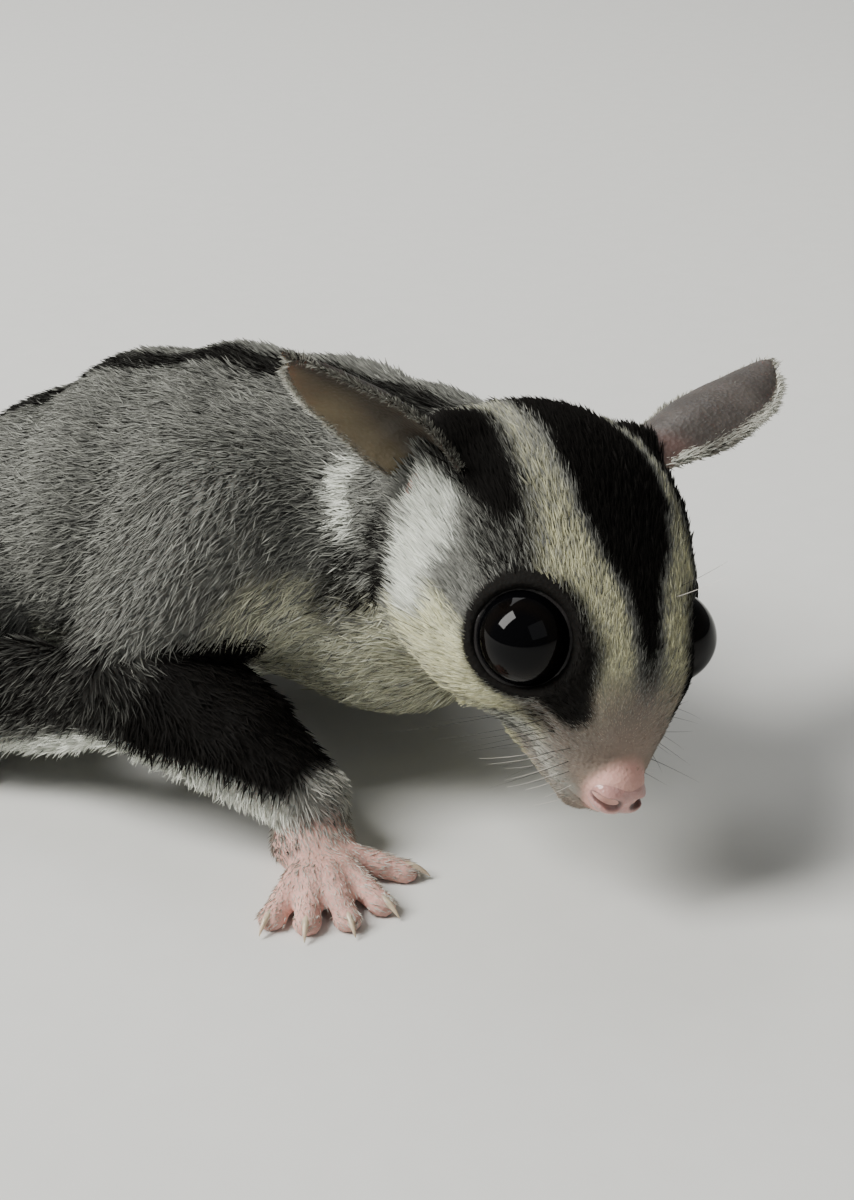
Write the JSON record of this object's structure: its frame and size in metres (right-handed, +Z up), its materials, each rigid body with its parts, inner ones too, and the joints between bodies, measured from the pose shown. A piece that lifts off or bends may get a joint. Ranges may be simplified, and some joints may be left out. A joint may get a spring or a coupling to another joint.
{
  "type": "sugar glider model",
  "caption": "Life-size still model of a sugar glider crouched on all four paws, head turned and lowered, gliding folds along the flanks, bushy tail laid out behind.",
  "frame": {"origin": "on the floor, under the middle of the whole animal's bounding box", "axes": "+X the way the body points, +Y to the animal's left, +Z up"},
  "size_m": [0.3004, 0.0728, 0.053],
  "materials": {
    "coat": "short dense grey fur with a dark stripe along the back and a pale belly",
    "tail_coat": "long loose grey fur, darker towards the tip",
    "bare_skin": "bare pink skin of paws, ears and nose",
    "eye": "wet black eye"
  },
  "bodies": {
    "root": {"head": "coat", "nose": "bare_skin", "eye_right": "eye", "eye_left": "eye", "ear_right": "bare_skin", "ear_left": "bare_skin", "neck": "coat", "torso": "coat", "membrane_right": "coat", "membrane_left": "coat", "foreleg_right": "coat", "foreleg_left": "coat", "hindleg_right": "coat", "hindleg_left": "coat", "forepaw_right": "bare_skin", "forepaw_left": "bare_skin", "hindfoot_right": "bare_skin", "hindfoot_left": "bare_skin", "tail_1": "tail_coat", "tail_2": "tail_coat", "tail_3": "tail_coat", "tail_4": "tail_coat"}
  },
  "joints": []
}
